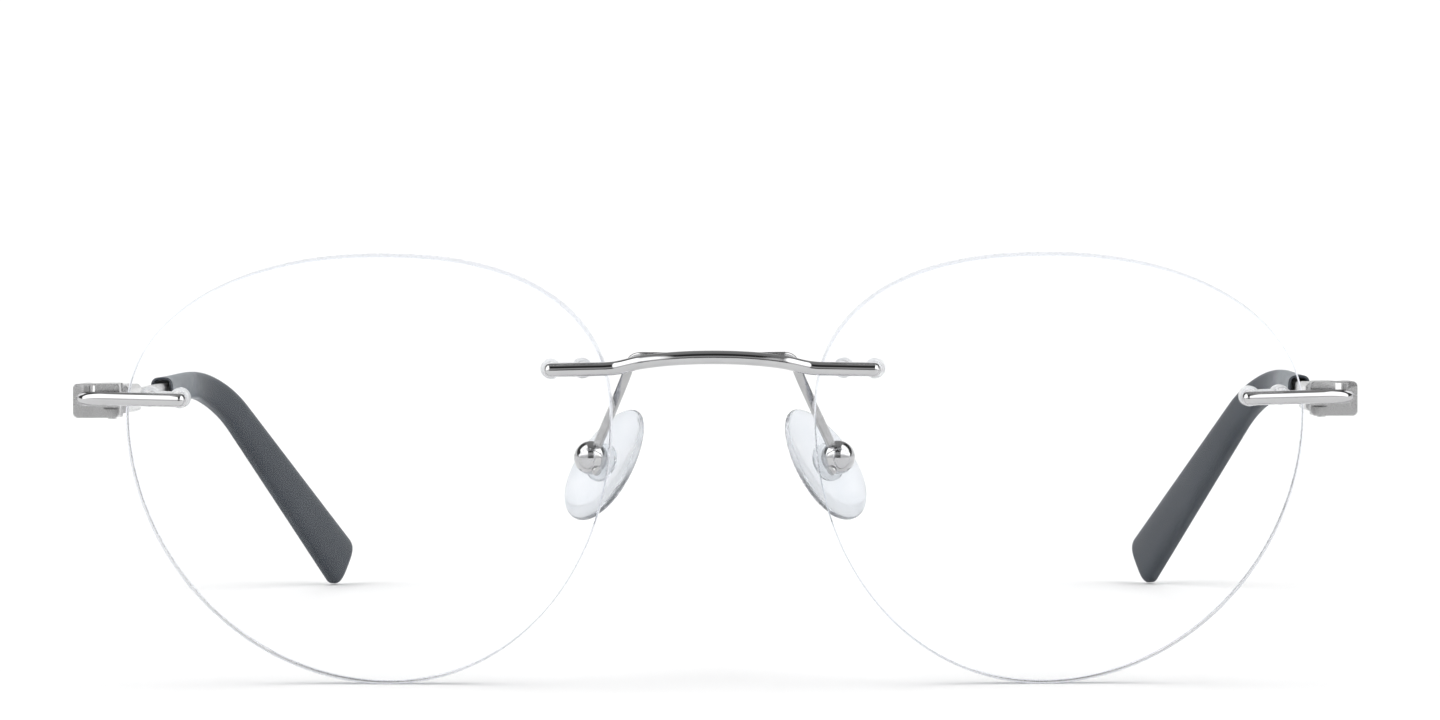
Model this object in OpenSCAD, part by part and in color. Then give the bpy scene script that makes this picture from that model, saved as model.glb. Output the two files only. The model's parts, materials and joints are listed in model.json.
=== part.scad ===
// Round rimless wire eyeglasses, standing open on their lens bottoms and temple tips.
// +X is the wearer's left, +Y runs back along the temples, +Z is up.
// The origin is under the middle of the whole object, on the surface it stands on.

/* [Lenses] */
// Width of one lens
lens_w = 50; // [48:0.5:51]
// Height of one lens
lens_h = 44.4; // [43:0.2:46]
// Gap between the two lenses at their nearest
lens_gap = 21; // [20:0.5:22]
// Height of a lens's widest line above its lowest point
lens_widest_z = 27.6; // [26.5:0.1:28]
// Thickness of a lens
lens_t = 2; // [1.8:0.1:2.2]
// Radius of a lens's front surface
lens_curve_r = 115; // [110:5:130]
// Turn of each lens about the vertical, so that its outer edge lies further back
lens_wrap = 3; // [2:0.5:4]

/* [Frame wire] */
// Height of the bridge and endpiece bars
bar_h = 1.4; // [1.3:0.05:1.6]
// Depth of the bars, front to back
bar_d = 1.3; // [1.2:0.05:1.4]
// Height of the bridge's arms above the lens bottoms
bridge_arm_z = 32.8; // [32:0.1:33.4]
// Rise of the bridge's middle above its arms
bridge_rise = 1.4; // [1.1:0.1:1.6]
// Height of the endpiece bars above the lens bottoms
endpiece_z = 29.5; // [28.8:0.1:30]
// Distance between the two studs that hold a lens
stud_spacing = 3.2; // [3:0.1:3.4]

/* [Stance] */
// Lean of the lenses, with their tops forward
front_lean = 6; // [5:0.5:7]
// Slope of the temples down towards their tips
temple_slope = 1.9; // [1.9:0.1:2]

/* [Hinges] */
// Distance of a hinge screw from the middle of the object
hinge_x = 62.6; // [62.4:0.1:62.8]
// Height of a hinge
hinge_h = 3.5; // [3.4:0.1:3.6]
// Radius of the hinge's knuckles
knuckle_r = 1.1; // [1.05:0.05:1.15]
// Radius of the hinge screw's shank
hinge_screw_r = 0.45; // [0.4:0.05:0.45]

/* [Temples] */
// Length of a temple's straight part, from the hinge screw to the ear bend
temple_straight = 90; // [88:0.5:92]
// Angle of the ear bend
ear_bend = 38; // [37:0.5:39]
// Inward turn of a temple at its ear bend
ear_inward = 26.5; // [24:0.5:27]
// Distance from the hinge screw to the front of the plastic tip
tip_start = 61; // [56:1:64]
// Height of the tip's sleeve at its front
tip_h_front = 2.75; // [2.6:0.05:2.9]
// Height of the tip's paddle near its end
tip_h_end = 6.4; // [6:0.1:6.6]
// Thickness of the tip
tip_t = 2; // [1.9:0.1:2.2]
// Height of the flat wire shaft
shaft_h = 1.4; // [1.3:0.05:1.5]
// Thickness of the flat wire shaft
shaft_t = 1; // [0.9:0.05:1.1]

/* [Nose pads] */
// Length of a nose pad
pad_l = 13; // [12.6:0.1:13.4]
// Width of a nose pad
pad_w = 7.8; // [7.4:0.1:8]
// Angle by which a pad's back edge stands away from the nose
pad_splay = 40; // [38:1:42]
// Angle by which a pad's top leans towards the middle
pad_frontal = 33; // [31:0.5:34]
// Radius of the ball that holds a pad
pad_box_r = 1.75; // [1.7:0.05:1.8]

/* [Hidden] */

steel_polished = [0.78, 0.78, 0.79];
steel_satin = [0.66, 0.67, 0.68];
clear = [0.86, 0.90, 0.93, 0.45];
tip_grey = [0.27, 0.29, 0.31];

// ---- Lens outline and the places on its surface ----

lens_x = lens_gap / 2 + lens_w / 2;
lens_mid_z = lens_h / 2;
// The widest and highest points lie a little to the nose's side of the lens's middle.
outline_shift = 1.5;
outline_steps = 26;
// One corner of the outline is a quarter of a superellipse.
// Its power sets how square the corner is: 2 is an ellipse.
power_nose_top = 2.35;
power_outer_top = 2.1;
power_nose_low = 2.06;
power_outer_low = 1.96;

function quarter(a, b, power, from, to) = [
    for (i = [0 : outline_steps - 1])
        let (t = from + (to - from) * i / outline_steps)
        [a * pow(abs(cos(t)), 2 / power) * sign(cos(t)), b * pow(abs(sin(t)), 2 / power) * sign(sin(t))]
];

// The outline of the lens on +X, seen from the front, about its own middle and lowest point.
function lens_outline() = let (
    nose_a = lens_w / 2 - outline_shift,
    outer_a = lens_w / 2 + outline_shift,
    top_b = lens_h - lens_widest_z,
    raw = concat(
        quarter(outer_a, top_b, power_outer_top, 0, 90),
        quarter(nose_a, top_b, power_nose_top, 90, 180),
        quarter(nose_a, lens_widest_z, power_nose_low, 180, 270),
        quarter(outer_a, lens_widest_z, power_outer_low, 270, 360)))
    [for (p = raw) [p[0] - outline_shift, p[1] + lens_widest_z]];

// How far the lens surface falls back at a height.
function sag(d) = lens_curve_r - sqrt(lens_curve_r * lens_curve_r - d * d);
lens_foot_y = sag(lens_mid_z);

// A point given in a lens's own axes, carried to the front's axes.
function from_lens(p) = [
    lens_x + p[0] * cos(lens_wrap) - p[1] * sin(lens_wrap),
    p[0] * sin(lens_wrap) + p[1] * cos(lens_wrap),
    p[2]
];

// A point given in the axes of a place on the lens's front surface:
// x along the surface, y into the lens, z up.
function site_turn(across) = asin(across / lens_curve_r);
function site_tip(z) = -asin((z - lens_mid_z) / lens_curve_r);
function from_site(across, z, p) = let (
    a = site_turn(across),
    e = site_tip(z),
    q = [p[0], p[1] - lens_curve_r, p[2]],
    r = [q[0], q[1] * cos(e) - q[2] * sin(e), q[1] * sin(e) + q[2] * cos(e)],
    s = [r[0] * cos(a) - r[1] * sin(a), r[0] * sin(a) + r[1] * cos(a), r[2]])
    from_lens([s[0], s[1] + lens_curve_r, s[2] + lens_mid_z]);

module at_lens() translate([lens_x, 0, 0]) rotate([0, 0, lens_wrap]) children();

module at_site(across, z)
    at_lens()
        translate([0, lens_curve_r, lens_mid_z])
            rotate([0, 0, site_turn(across)])
                rotate([site_tip(z), 0, 0])
                    translate([0, -lens_curve_r, 0])
                        children();

// Distances of the two mounting places from a lens's middle, outward positive.
bridge_site = 14.7 - lens_x;
endpiece_site = 57 - lens_x;

// ---- Stance: the leaning front, and the hinge axes ----

// The front turns about the lowest line of the lenses' front edges.
function lean(p) = [
    p[0],
    lens_foot_y + (p[1] - lens_foot_y) * cos(front_lean) - p[2] * sin(front_lean),
    (p[1] - lens_foot_y) * sin(front_lean) + p[2] * cos(front_lean)
];

hinge_in_front = [hinge_x, 12, 28.1];
hinge = lean(hinge_in_front);

// ---- Temple centre line ----

// The centre line starts at the hinge screw. Distances are measured along it.
bend_r = 20;
bend_length = bend_r * ear_bend * PI / 180;
inward_start = temple_straight - 6;
inward_length = 16;
// The shaft first leads out a little, then runs straight back.
lead_out_start = 13;
lead_out_end = 50;
lead_out_turn = 1.9;
temple_step = 0.5;

function smooth(t) = let (u = min(1, max(0, t))) u * u * (3 - 2 * u);
function ramp(t) = min(1, max(0, t));
function temple_pitch(s) = -ear_bend * ramp((s - temple_straight) / bend_length);
function temple_yaw(s) =
    lead_out_turn * (smooth((s - lead_out_start + 8) / 8) - smooth((s - lead_out_end) / 20))
    - ear_inward * smooth((s - inward_start) / inward_length);
function temple_dir(s) = let (w = temple_yaw(s), v = temple_pitch(s))
    [sin(w) * cos(v), cos(w) * cos(v), sin(v)];
longest_temple = temple_straight + 60;
temple_line = [
    for (i = 0, p = [0, 0, 0];
         i <= longest_temple / temple_step;
         p = p + temple_step * temple_dir((i + 0.5) * temple_step), i = i + 1) p
];
function temple_point(s) = let (i = floor(s / temple_step), f = s / temple_step - i)
    temple_line[i] * (1 - f) + temple_line[i + 1] * f;

// The temple ends where the lower corner of its paddle reaches the surface that the lenses stand on.
paddle_corner_drop = 2.02;
function paddle_low(p) = hinge[2] + p[2] * cos(temple_slope) - p[1] * sin(temple_slope) - paddle_corner_drop;
last_above = len([for (p = temple_line) if (paddle_low(p) > 0) p]) - 1;
temple_length = temple_step * (last_above
    + paddle_low(temple_line[last_above])
        / (paddle_low(temple_line[last_above]) - paddle_low(temple_line[last_above + 1])));

// ---- Whole depth, which sets where the middle is ----

bridge_front_y = lean([0, -0.9, bridge_arm_z + bridge_rise])[1];
temple_back = temple_point(temple_length);
temple_back_y = hinge[1] + temple_back[1] * cos(temple_slope) + temple_back[2] * sin(temple_slope)
    + tip_h_end / 2 * sin(ear_bend) * 0.75;
middle_y = (bridge_front_y + temple_back_y) / 2;

module on_side(side) if (side > 0) children(); else mirror([1, 0, 0]) children();

module in_front(side)
    translate([0, -middle_y, 0])
        on_side(side)
            translate([0, lens_foot_y, 0])
                rotate([front_lean, 0, 0])
                    translate([0, -lens_foot_y, 0])
                        children();

module at_hinge(side)
    translate([0, -middle_y, 0])
        on_side(side)
            translate(hinge)
                rotate([-temple_slope, 0, 0])
                    children();

// ---- Swept solids ----

function unit(v) = v / norm(v);
function bezier(a, b, c, d, n) = [
    for (i = [0 : n])
        let (t = i / n, u = 1 - t)
        u * u * u * a + 3 * u * u * t * b + 3 * u * t * t * c + t * t * t * d
];

// A ring of points about a centre, from a flat section given as [across, up] pairs.
function ring(centre, dir, section) = let (
    across = unit(cross(dir, [0, 0, 1])),
    up = cross(across, dir))
    [for (q = section) centre + q[0] * across + q[1] * up];

// A closed solid through a list of rings that all have the same number of points.
module skin(rings) {
    n = len(rings[0]);
    last = len(rings) - 1;
    polyhedron(
        points = [for (r = rings) each r],
        faces = concat(
            [[for (i = [0 : n - 1]) n - 1 - i]],
            [for (k = [0 : last - 1], i = [0 : n - 1])
                let (j = (i + 1) % n, a = k * n, b = (k + 1) * n)
                [a + i, a + j, b + j, b + i]],
            [[for (i = [0 : n - 1]) last * n + i]]),
        convexity = 6);
}

// A rounded rectangle as a superellipse.
function soft_box(w, h, power, n) = [
    for (i = [0 : n - 1])
        let (t = 360 * (i + 0.5) / n)
        [w / 2 * pow(abs(cos(t)), 2 / power) * sign(cos(t)), h / 2 * pow(abs(sin(t)), 2 / power) * sign(sin(t))]
];

// The bars' section: round in front, flatter behind. "Across" points to the front.
bar_sides = 18;
function bar_section(k) = [
    for (i = [0 : bar_sides - 1])
        let (t = 360 * (i + 0.5) / bar_sides, c = cos(t))
        k * [c > 0 ? 0.62 * bar_d * c : -0.38 * bar_d * pow(-c, 0.5), bar_h / 2 * sin(t)]
];

function path_dir(path, i) = let (n = len(path) - 1)
    unit(path[min(n, i + 1)] - path[max(0, i - 1)]);

// A bar swept along a path, with domed ends.
module bar_sweep(path) {
    n = len(path) - 1;
    start = path_dir(path, 0);
    end = path_dir(path, n);
    dome = [[0.62, 0.25], [0.48, 0.62], [0.28, 0.88]];
    skin(concat(
        [for (d = dome) ring(path[0] - d[0] * start, start, bar_section(d[1]))],
        [for (i = [0 : n]) ring(path[i], path_dir(path, i), bar_section(1))],
        [for (k = [2 : -1 : 0]) ring(path[n] + dome[k][0] * end, end, bar_section(dome[k][1]))]));
}

// ---- Lenses ----

plug_hole_r = 0.8;

module stud_pair() for (x = [-1, 1] * stud_spacing / 2) translate([x, 0, 0]) rotate([-90, 0, 0]) children();

module lens(side) color(clear)
    in_front(side) difference() {
        at_lens() intersection() {
            translate([0, 20, 0]) rotate([90, 0, 0]) linear_extrude(30) polygon(lens_outline());
            translate([0, lens_curve_r, lens_mid_z]) difference() {
                sphere(r = lens_curve_r, $fn = 200);
                sphere(r = lens_curve_r - lens_t, $fn = 200);
            }
        }
        at_site(bridge_site, bridge_arm_z) stud_pair()
            translate([0, 0, -2]) cylinder(r = plug_hole_r, h = 8, $fn = 32);
        at_site(endpiece_site, endpiece_z) stud_pair()
            translate([0, 0, -2]) cylinder(r = plug_hole_r, h = 8, $fn = 32);
    }

// ---- Bridge, endpieces, studs and plugs ----

bar_gap = 0.08;
bar_y = -0.38 * bar_d - bar_gap;
arm_out = 1.9;
arm_in = -3.4;
bridge_mid = [0, 0.1, bridge_arm_z + bridge_rise];
bridge_arch = 0.62;
bridge_hump = [7.4, 0.75, bridge_arm_z + bridge_rise - bridge_arch];

function mirrored(p) = [-p[0], p[1], p[2]];
function reversed(list) = [for (i = [len(list) - 1 : -1 : 0]) list[i]];

// The path runs from the wearer's left arm's outer end to the middle.
function bridge_half() = let (
    tip = from_site(bridge_site, bridge_arm_z, [arm_out, bar_y, 0]),
    inner = from_site(bridge_site, bridge_arm_z, [arm_in, bar_y, 0]),
    dir = unit(inner - tip))
    concat(
        [tip, (tip + inner) / 2],
        bezier(inner, inner + 1.7 * dir, bridge_hump + [1.7, 0.15, -0.38], bridge_hump, 12),
        [for (p = bezier(bridge_hump, bridge_hump + [-2.2, -0.2, 0.38], bridge_mid + [2.8, 0, 0], bridge_mid, 10))
            if (norm(p - bridge_hump) > 0.01) p]);

module bridge() color(steel_polished) in_front(1) {
    half = bridge_half();
    rest = [for (i = [len(half) - 2 : -1 : 0]) mirrored(half[i])];
    bar_sweep(reversed(concat(half, rest)));
}

// The endpiece runs out past the lens, then turns back along the hinge's outer wall.
function endpiece_path() = let (
    tip = from_site(endpiece_site, endpiece_z, [-2.55, bar_y, 0]),
    outer = from_site(endpiece_site, endpiece_z, [5.4, bar_y, -0.1]),
    dir = unit(outer - tip),
    corner_end = [hinge_x + 2.5, hinge_in_front[1] - 4.1, endpiece_z - 0.6])
    concat([tip, (tip + outer) / 2],
        bezier(outer, outer + 2.6 * dir, corner_end + [0.1, -1.9, 0.15], corner_end, 14));

module endpiece(side) color(steel_polished) in_front(side) bar_sweep(endpiece_path());

stud_r = 0.4;
stud_back = lens_t + 0.5;
module studs(side, across, z) color(steel_satin)
    in_front(side) at_site(across, z) stud_pair()
        translate([0, 0, bar_y]) cylinder(r = stud_r, h = stud_back - bar_y, $fn = 24);

flange_t = 0.75;
flange_r = 1.04;
module plug(side, across, z) color(clear)
    in_front(side) at_site(across, z) difference() {
        union() {
            stud_pair() translate([0, 0, 0.1]) cylinder(r = plug_hole_r - 0.02, h = lens_t, $fn = 32);
            stud_pair() translate([0, 0, lens_t + 0.06]) cylinder(r = flange_r, h = flange_t, $fn = 40);
            translate([-stud_spacing / 2, lens_t + 0.06, -0.6]) cube([stud_spacing, flange_t, 1.2]);
        }
        stud_pair() translate([0, 0, -0.5]) cylinder(r = stud_r + 0.02, h = stud_back + 0.53, $fn = 24);
    }

// ---- Nose pads and what holds them ----

pad_ball = [12.75, 7.5, 22.7];
pad_screw_z = -0.6;
pad_screw_r = 0.32;
pad_slot_w = 1.2;
pad_flat = 0.95;

module at_pad(side)
    in_front(side)
        translate(pad_ball)
            rotate([0, -pad_frontal, 0])
                rotate([0, 0, -pad_splay])
                    children();

// The arm lies along the back of the bridge, from the middle outwards, and shows above its shoulder.
// Then it turns down and runs straight into the ball.
function pad_arm_path() = let (
    root = [0.3, 0.82, bridge_mid[2] - 0.12],
    shoulder = [7.2, 1.42, bridge_mid[2] - 0.12],
    knee = [8.8, 2.6, bridge_arm_z - 0.7],
    end = pad_ball + [-0.55, -0.35, 1.0])
    concat(
        bezier(root, root + [3, 0, 0], shoulder + [-2, -0.22, 0.02], shoulder, 6),
        [for (p = bezier(shoulder, shoulder + [1.2, 0.17, -0.02], knee + [-0.4, -0.55, 1.1], knee, 10))
            if (norm(p - shoulder) > 0.01) p],
        [for (p = bezier(knee, knee + [0.8, 1.1, -2.2], end + [-1.1, -1.4, 2.8], end, 10))
            if (norm(p - knee) > 0.01) p]);

module pad_arm(side) color(steel_satin) in_front(side) {
    path = pad_arm_path();
    section = soft_box(0.72, 0.98, 3, 12);
    skin([for (i = [0 : len(path) - 1])
        let (dir = path_dir(path, i), wide = unit(cross(dir, [0, 1, 0])), deep = cross(wide, dir))
        [for (q = section) path[i] + q[1] * wide - q[0] * deep]]);
}

// The ball's half outline, cut flat on the pad's side and turned about the pad's own axis.
module pad_ball_outline() intersection() {
    circle(r = pad_box_r, $fn = 64);
    translate([0, -pad_flat]) square(2 * pad_box_r);
}

module pad_box(side) color(steel_polished) at_pad(side) difference() {
    rotate([0, 90, 0]) rotate_extrude($fn = 64) pad_ball_outline();
    translate([-3, -pad_slot_w / 2, pad_screw_z - 0.95]) cube([3.85, pad_slot_w, 1.9]);
    translate([0, 4, pad_screw_z]) rotate([90, 0, 0]) cylinder(r = pad_screw_r + 0.03, h = 8, $fn = 24);
}

module pad_screw(side) color(steel_satin) at_pad(side) translate([0, 0, pad_screw_z]) {
    rotate([90, 0, 0]) translate([0, 0, -1.6]) cylinder(r = pad_screw_r, h = 3.25, $fn = 24);
    translate([0, -1.65, 0]) rotate([90, 0, 0]) cylinder(r = 0.5, h = 0.28, $fn = 32);
}

core_back = -1.45;
module pad_core(side) color(clear) at_pad(side) difference() {
    union() {
        translate([0, 0.5, pad_screw_z]) rotate([90, 0, 0]) cylinder(r = 0.72, h = 1, $fn = 32);
        translate([core_back - 0.2, -0.5, pad_screw_z - 0.6]) cube([-core_back + 0.2, 1, 1.2]);
        translate([core_back, 0, 0]) rotate([0, -90, 0]) cylinder(r = 2, h = 0.5, $fn = 40);
    }
    translate([0, 2, pad_screw_z]) rotate([90, 0, 0]) cylinder(r = pad_screw_r + 0.05, h = 4, $fn = 24);
}

// Each step of the pad's thickness: how far from its back face, and the outline's size there.
pad_t = 2.1;
pad_profile = [[0, 0.28], [0.02, 0.62], [0.1, 0.84], [0.3, 0.95], [0.55, 0.995], [0.85, 1],
    [1.15, 0.965], [1.5, 0.86], [1.85, 0.62], [2.04, 0.34], [2.1, 0.12]];
pad_sides = 30;
module nose_pad(side) color(clear) at_pad(side)
    skin([for (step = pad_profile)
        [for (i = [0 : pad_sides - 1])
            let (t = 360 * i / pad_sides, k = step[1])
            [core_back - step[0] * pad_t / 2.1,
             k * pad_w / 2 * cos(t) * (1 - 0.14 * sin(t)),
             k * pad_l / 2 * sin(t)]]]);

// ---- Hinges, in the hinge's own axes: x outward, y back along the temple, z up the screw ----

wall_x = 2.1;
outer_x = 3.25;
inner_x = -1.55;
wall_back = 0.8;
block_corner = 0.45;
inner_draft = 5.2;
block_front = -6.6;
block_back = -1.75;
leaf_z = 0.74;
joint_gap = 0.06;
screw_clearance = 0.05;
head_r = 0.78;
head_t = 0.3;

// The block seen from the front, with rounded corners.
module block_outline() {
    translate([inner_x + block_corner, -hinge_h / 2]) square([outer_x - inner_x - 2 * block_corner, hinge_h]);
    translate([inner_x, -hinge_h / 2 + block_corner])
        square([outer_x - inner_x, hinge_h - 2 * block_corner]);
    for (x = [inner_x + block_corner, outer_x - block_corner], z = [-1, 1] * (hinge_h / 2 - block_corner))
        translate([x, z]) circle(r = block_corner, $fn = 32);
}

module hinge_block(side) color(steel_satin) at_hinge(side) difference() {
    union() {
        translate([0, wall_back, 0]) rotate([90, 0, 0]) linear_extrude(wall_back - block_front) block_outline();
        // Upper and lower knuckles
        for (z = [leaf_z, -hinge_h / 2]) translate([0, 0, z])
            cylinder(r = knuckle_r, h = hinge_h / 2 - leaf_z, $fn = 48);
    }
    // Behind the block, only the outer wall and the knuckles stay.
    difference() {
        translate([inner_x - 1, block_back, -hinge_h]) cube([wall_x - inner_x + 1, 5, 2 * hinge_h]);
        for (z = [leaf_z, -hinge_h / 2]) translate([0, 0, z]) {
            cylinder(r = knuckle_r, h = hinge_h / 2 - leaf_z, $fn = 48);
            translate([-knuckle_r, block_back - 0.1, 0])
                cube([2 * knuckle_r, -block_back + 0.1, hinge_h / 2 - leaf_z]);
        }
    }
    // The inner face falls away towards the back.
    translate([inner_x, block_front, 0]) rotate([0, 0, -inner_draft])
        translate([-2, -1, -hinge_h]) cube([2, block_back - block_front + 1, 2 * hinge_h]);
    // Window that passes light beside the knuckles
    translate([knuckle_r - 0.1, block_front - 1, 0.84]) cube([wall_x - knuckle_r + 0.15, 6, 0.74]);
    // Saw cut under the bar
    translate([inner_x + 0.12, block_front - 1, -0.86]) cube([1.5, 2, 0.16]);
    // Screw hole, with a seat for the head
    translate([0, 0, -hinge_h]) cylinder(r = hinge_screw_r + screw_clearance, h = 2 * hinge_h, $fn = 32);
    translate([0, 0, hinge_h / 2 - head_t - 0.04]) cylinder(r = head_r + screw_clearance, h = 1, $fn = 40);
}

module hinge_screw(side) color(steel_polished) at_hinge(side) difference() {
    union() {
        translate([0, 0, -hinge_h / 2 - 0.25]) cylinder(r = hinge_screw_r, h = hinge_h + 0.1, $fn = 32);
        translate([0, 0, hinge_h / 2 - head_t]) cylinder(r = head_r, h = head_t, $fn = 40);
    }
    translate([-1, -0.11, hinge_h / 2 - 0.14]) cube([2, 0.22, 1]);
}

rod_r = 0.36;
box_front = 1.75;
spring_front = 3;
rod_end = 9.2;
spring_bore_r = 0.98;
module hinge_slider(side) color(steel_satin) at_hinge(side) difference() {
    union() {
        translate([0, 0, -leaf_z + joint_gap]) cylinder(r = knuckle_r, h = 2 * (leaf_z - joint_gap), $fn = 48);
        translate([-0.45, 0.5, -leaf_z + joint_gap]) cube([0.9, 1, 2 * (leaf_z - joint_gap)]);
        translate([0, 1.2, 0]) rotate([-90, 0, 0]) cylinder(r = rod_r, h = rod_end - 1.2, $fn = 24);
    }
    translate([0, 0, -2]) cylinder(r = hinge_screw_r + screw_clearance, h = 4, $fn = 32);
}

module spring_stop(side) color(steel_polished) at_hinge(side)
    translate([0, rod_end - 0.75, 0]) rotate([-90, 0, 0]) difference() {
        cylinder(r = 0.88, h = 0.6, $fn = 40);
        translate([0, 0, -1]) cylinder(r = rod_r + 0.01, h = 3, $fn = 24);
    }

spring_wire_r = 0.13;
spring_r = 0.72;
spring_turns = 7;
module hinge_spring(side) color(steel_polished) at_hinge(side) {
    y0 = spring_front + spring_wire_r + 0.06;
    y1 = rod_end - 0.75 - spring_wire_r - 0.06;
    steps = spring_turns * 14;
    skin([for (i = [0 : steps])
        let (a = 360 * spring_turns * i / steps,
             out = [cos(a), 0, sin(a)],
             centre = out * spring_r + [0, y0 + (y1 - y0) * i / steps, 0])
        [for (j = [0 : 5])
            let (b = 60 * j) centre + spring_wire_r * (cos(b) * out - sin(b) * [0, 1, 0])]]);
}

box_w = 3;
box_h = 2.9;
box_back = 14;
module spring_box(side) color(steel_satin) at_hinge(side) difference() {
    union() {
        translate([-box_w / 2, box_front, -box_h / 2 + 0.5]) cube([box_w, box_back - box_front, box_h - 1]);
        translate([-box_w / 2 + 0.5, box_front, -box_h / 2]) cube([box_w - 1, box_back - box_front, box_h]);
        for (x = [-1, 1] * (box_w / 2 - 0.5), z = [-1, 1] * (box_h / 2 - 0.5))
            translate([x, box_front, z]) rotate([-90, 0, 0]) cylinder(r = 0.5, h = box_back - box_front, $fn = 24);
    }
    translate([0, 0, 0]) rotate([-90, 0, 0]) cylinder(r = rod_r + 0.04, h = spring_front + 0.5, $fn = 24);
    translate([0, spring_front, 0]) rotate([-90, 0, 0]) cylinder(r = spring_bore_r, h = 8.2, $fn = 40);
}

// ---- Temple shaft and tip ----

shaft_start = box_back - 0.02;
shaft_end = 118;
straight_stops = [14, 20, 26, 32, 38, 44, 50, 56, 62, 68, 74];
curved_step = 2.2;
function stations(from, to) = concat(
    [from],
    [for (s = straight_stops) if (s > from + 0.5 && s < min(to, inward_start) - 0.5) s],
    [for (s = [max(from + curved_step, inward_start) : curved_step : to - 0.6]) s],
    [to]);

module temple_skin(list) skin([for (q = list) ring(temple_point(q[0]), temple_dir(q[0]), q[1])]);

module temple_shaft(side) color(steel_satin) at_hinge(side)
    temple_skin([for (s = stations(shaft_start, shaft_end)) [s, soft_box(shaft_t, shaft_h, 5, 12)]]);

tip_sides = 20;
tip_power = 3.2;
// The paddle grows towards its end, and its last stretch is rounded off.
tip_corner = 1.4;
function tip_h(s) = let (
    grown = tip_h_front + 0.45 * smooth((s - tip_start) / 34)
        + (tip_h_end - tip_h_front - 0.45) * ramp((s - temple_straight - 2) / 40),
    left = max(0, tip_corner - (temple_length - s)))
    grown - 2 * (tip_corner - sqrt(max(0, tip_corner * tip_corner - left * left)));
function tip_thick(s) = let (left = max(0, 0.8 - (temple_length - s)))
    tip_t + 0.5 * (1 - smooth((s - tip_start) / 12)) - 1.1 * left * left;

module temple_tip(side) color(tip_grey) at_hinge(side) {
    pocket_end = shaft_end + 0.15;
    pocket = [for (s = reversed(stations(tip_start + 3, pocket_end)))
        [s, soft_box(shaft_t + 0.1, shaft_h + 0.1, 5, tip_sides)]];
    mouth = [[tip_start + 2.2, soft_box(shaft_t + 0.7, shaft_h + 0.6, 4, tip_sides)],
        [tip_start + 0.1, soft_box(shaft_t + 0.85, shaft_h + 0.75, 4, tip_sides)]];
    lip = [[tip_start, soft_box(tip_thick(tip_start) - 0.3, tip_h(tip_start) - 0.3, tip_power, tip_sides)]];
    outside = [for (s = concat(stations(tip_start + 0.2, temple_length - 1.4),
            [for (d = [1.0, 0.6, 0.3, 0.1, 0.02]) temple_length - d]))
        [s, soft_box(tip_thick(s), tip_h(s), tip_power, tip_sides)]];
    temple_skin(concat(pocket, mouth, lip, outside));
}

// ---- Every sub-part by name ----

lens(1);  // lens_left
lens(-1);  // lens_right
bridge();
studs(1, bridge_site, bridge_arm_z);  // bridge_studs_left
studs(-1, bridge_site, bridge_arm_z);  // bridge_studs_right
plug(1, bridge_site, bridge_arm_z);  // bridge_plug_left
plug(-1, bridge_site, bridge_arm_z);  // bridge_plug_right
endpiece(1);  // endpiece_left
endpiece(-1);  // endpiece_right
studs(1, endpiece_site, endpiece_z);  // endpiece_studs_left
studs(-1, endpiece_site, endpiece_z);  // endpiece_studs_right
plug(1, endpiece_site, endpiece_z);  // endpiece_plug_left
plug(-1, endpiece_site, endpiece_z);  // endpiece_plug_right
pad_arm(1);  // pad_arm_left
pad_arm(-1);  // pad_arm_right
pad_box(1);  // pad_box_left
pad_box(-1);  // pad_box_right
pad_screw(1);  // pad_screw_left
pad_screw(-1);  // pad_screw_right
pad_core(1);  // pad_core_left
pad_core(-1);  // pad_core_right
nose_pad(1);  // nose_pad_left
nose_pad(-1);  // nose_pad_right
hinge_block(1);  // hinge_block_left
hinge_block(-1);  // hinge_block_right
hinge_screw(1);  // hinge_screw_left
hinge_screw(-1);  // hinge_screw_right
hinge_slider(1);  // hinge_slider_left
hinge_slider(-1);  // hinge_slider_right
hinge_spring(1);  // hinge_spring_left
hinge_spring(-1);  // hinge_spring_right
spring_stop(1);  // spring_stop_left
spring_stop(-1);  // spring_stop_right
spring_box(1);  // spring_box_left
spring_box(-1);  // spring_box_right
temple_shaft(1);  // temple_shaft_left
temple_shaft(-1);  // temple_shaft_right
temple_tip(1);  // temple_tip_left
temple_tip(-1);  // temple_tip_right
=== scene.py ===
"""Looks for a pair of round rimless wire eyeglasses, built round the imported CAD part.

Shapes are worked out in millimetres, in the same axes as the CAD part, and turned into metres when a mesh
is made.
"""
import json
import math

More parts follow.
